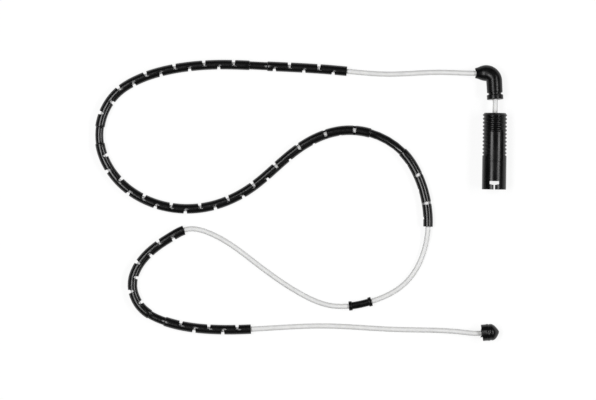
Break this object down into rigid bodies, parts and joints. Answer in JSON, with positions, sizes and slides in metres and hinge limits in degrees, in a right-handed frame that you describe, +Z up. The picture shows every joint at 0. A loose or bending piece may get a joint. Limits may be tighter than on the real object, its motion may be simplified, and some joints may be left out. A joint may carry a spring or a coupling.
{
  "type": "brake pad wear sensor",
  "caption": "Brake pad wear sensor: a domed sensing head on a long cable with notched protective sleeves, a grommet, an elbow boot and a round ribbed plug.",
  "frame": {"origin": "middle of the underside of the sensing head's bounding box, on the surface that the sensor lies on", "axes": "+X along the head's axis towards its nose, +Z up from the surface that the sensor lies on"},
  "size_m": [0.2885, 0.2226, 0.0173],
  "materials": {
    "head_nylon": "satin black moulded nylon",
    "plug_nylon": "satin black moulded nylon",
    "insert_nylon": "dark grey moulded nylon",
    "boot_rubber": "satin black rubber",
    "seal_rubber": "soft black rubber",
    "sleeve_plastic": "satin black flexible plastic",
    "cable_jacket": "smooth pale grey jacket",
    "core_insulation": "brown wire insulation",
    "loop_copper": "bare copper wire",
    "contact_tin": "tin-plated brass"
  },
  "bodies": {
    "root": {"head_body": "head_nylon", "cable_gland": "seal_rubber", "sensing_loop": "loop_copper", "crimp_sleeve_1": "contact_tin", "crimp_sleeve_2": "contact_tin", "head_core_1": "core_insulation", "head_core_2": "core_insulation", "cable": "cable_jacket", "short_sleeve": "sleeve_plastic", "mounting_grommet": "boot_rubber", "long_sleeve": "sleeve_plastic", "elbow_boot": "boot_rubber", "plug_housing": "plug_nylon", "rear_retainer": "insert_nylon", "wire_seal": "seal_rubber", "contact_carrier": "insert_nylon", "contact_1": "contact_tin", "contact_2": "contact_tin", "plug_core_1": "core_insulation", "plug_core_2": "core_insulation", "interface_seal": "seal_rubber"}
  },
  "joints": []
}
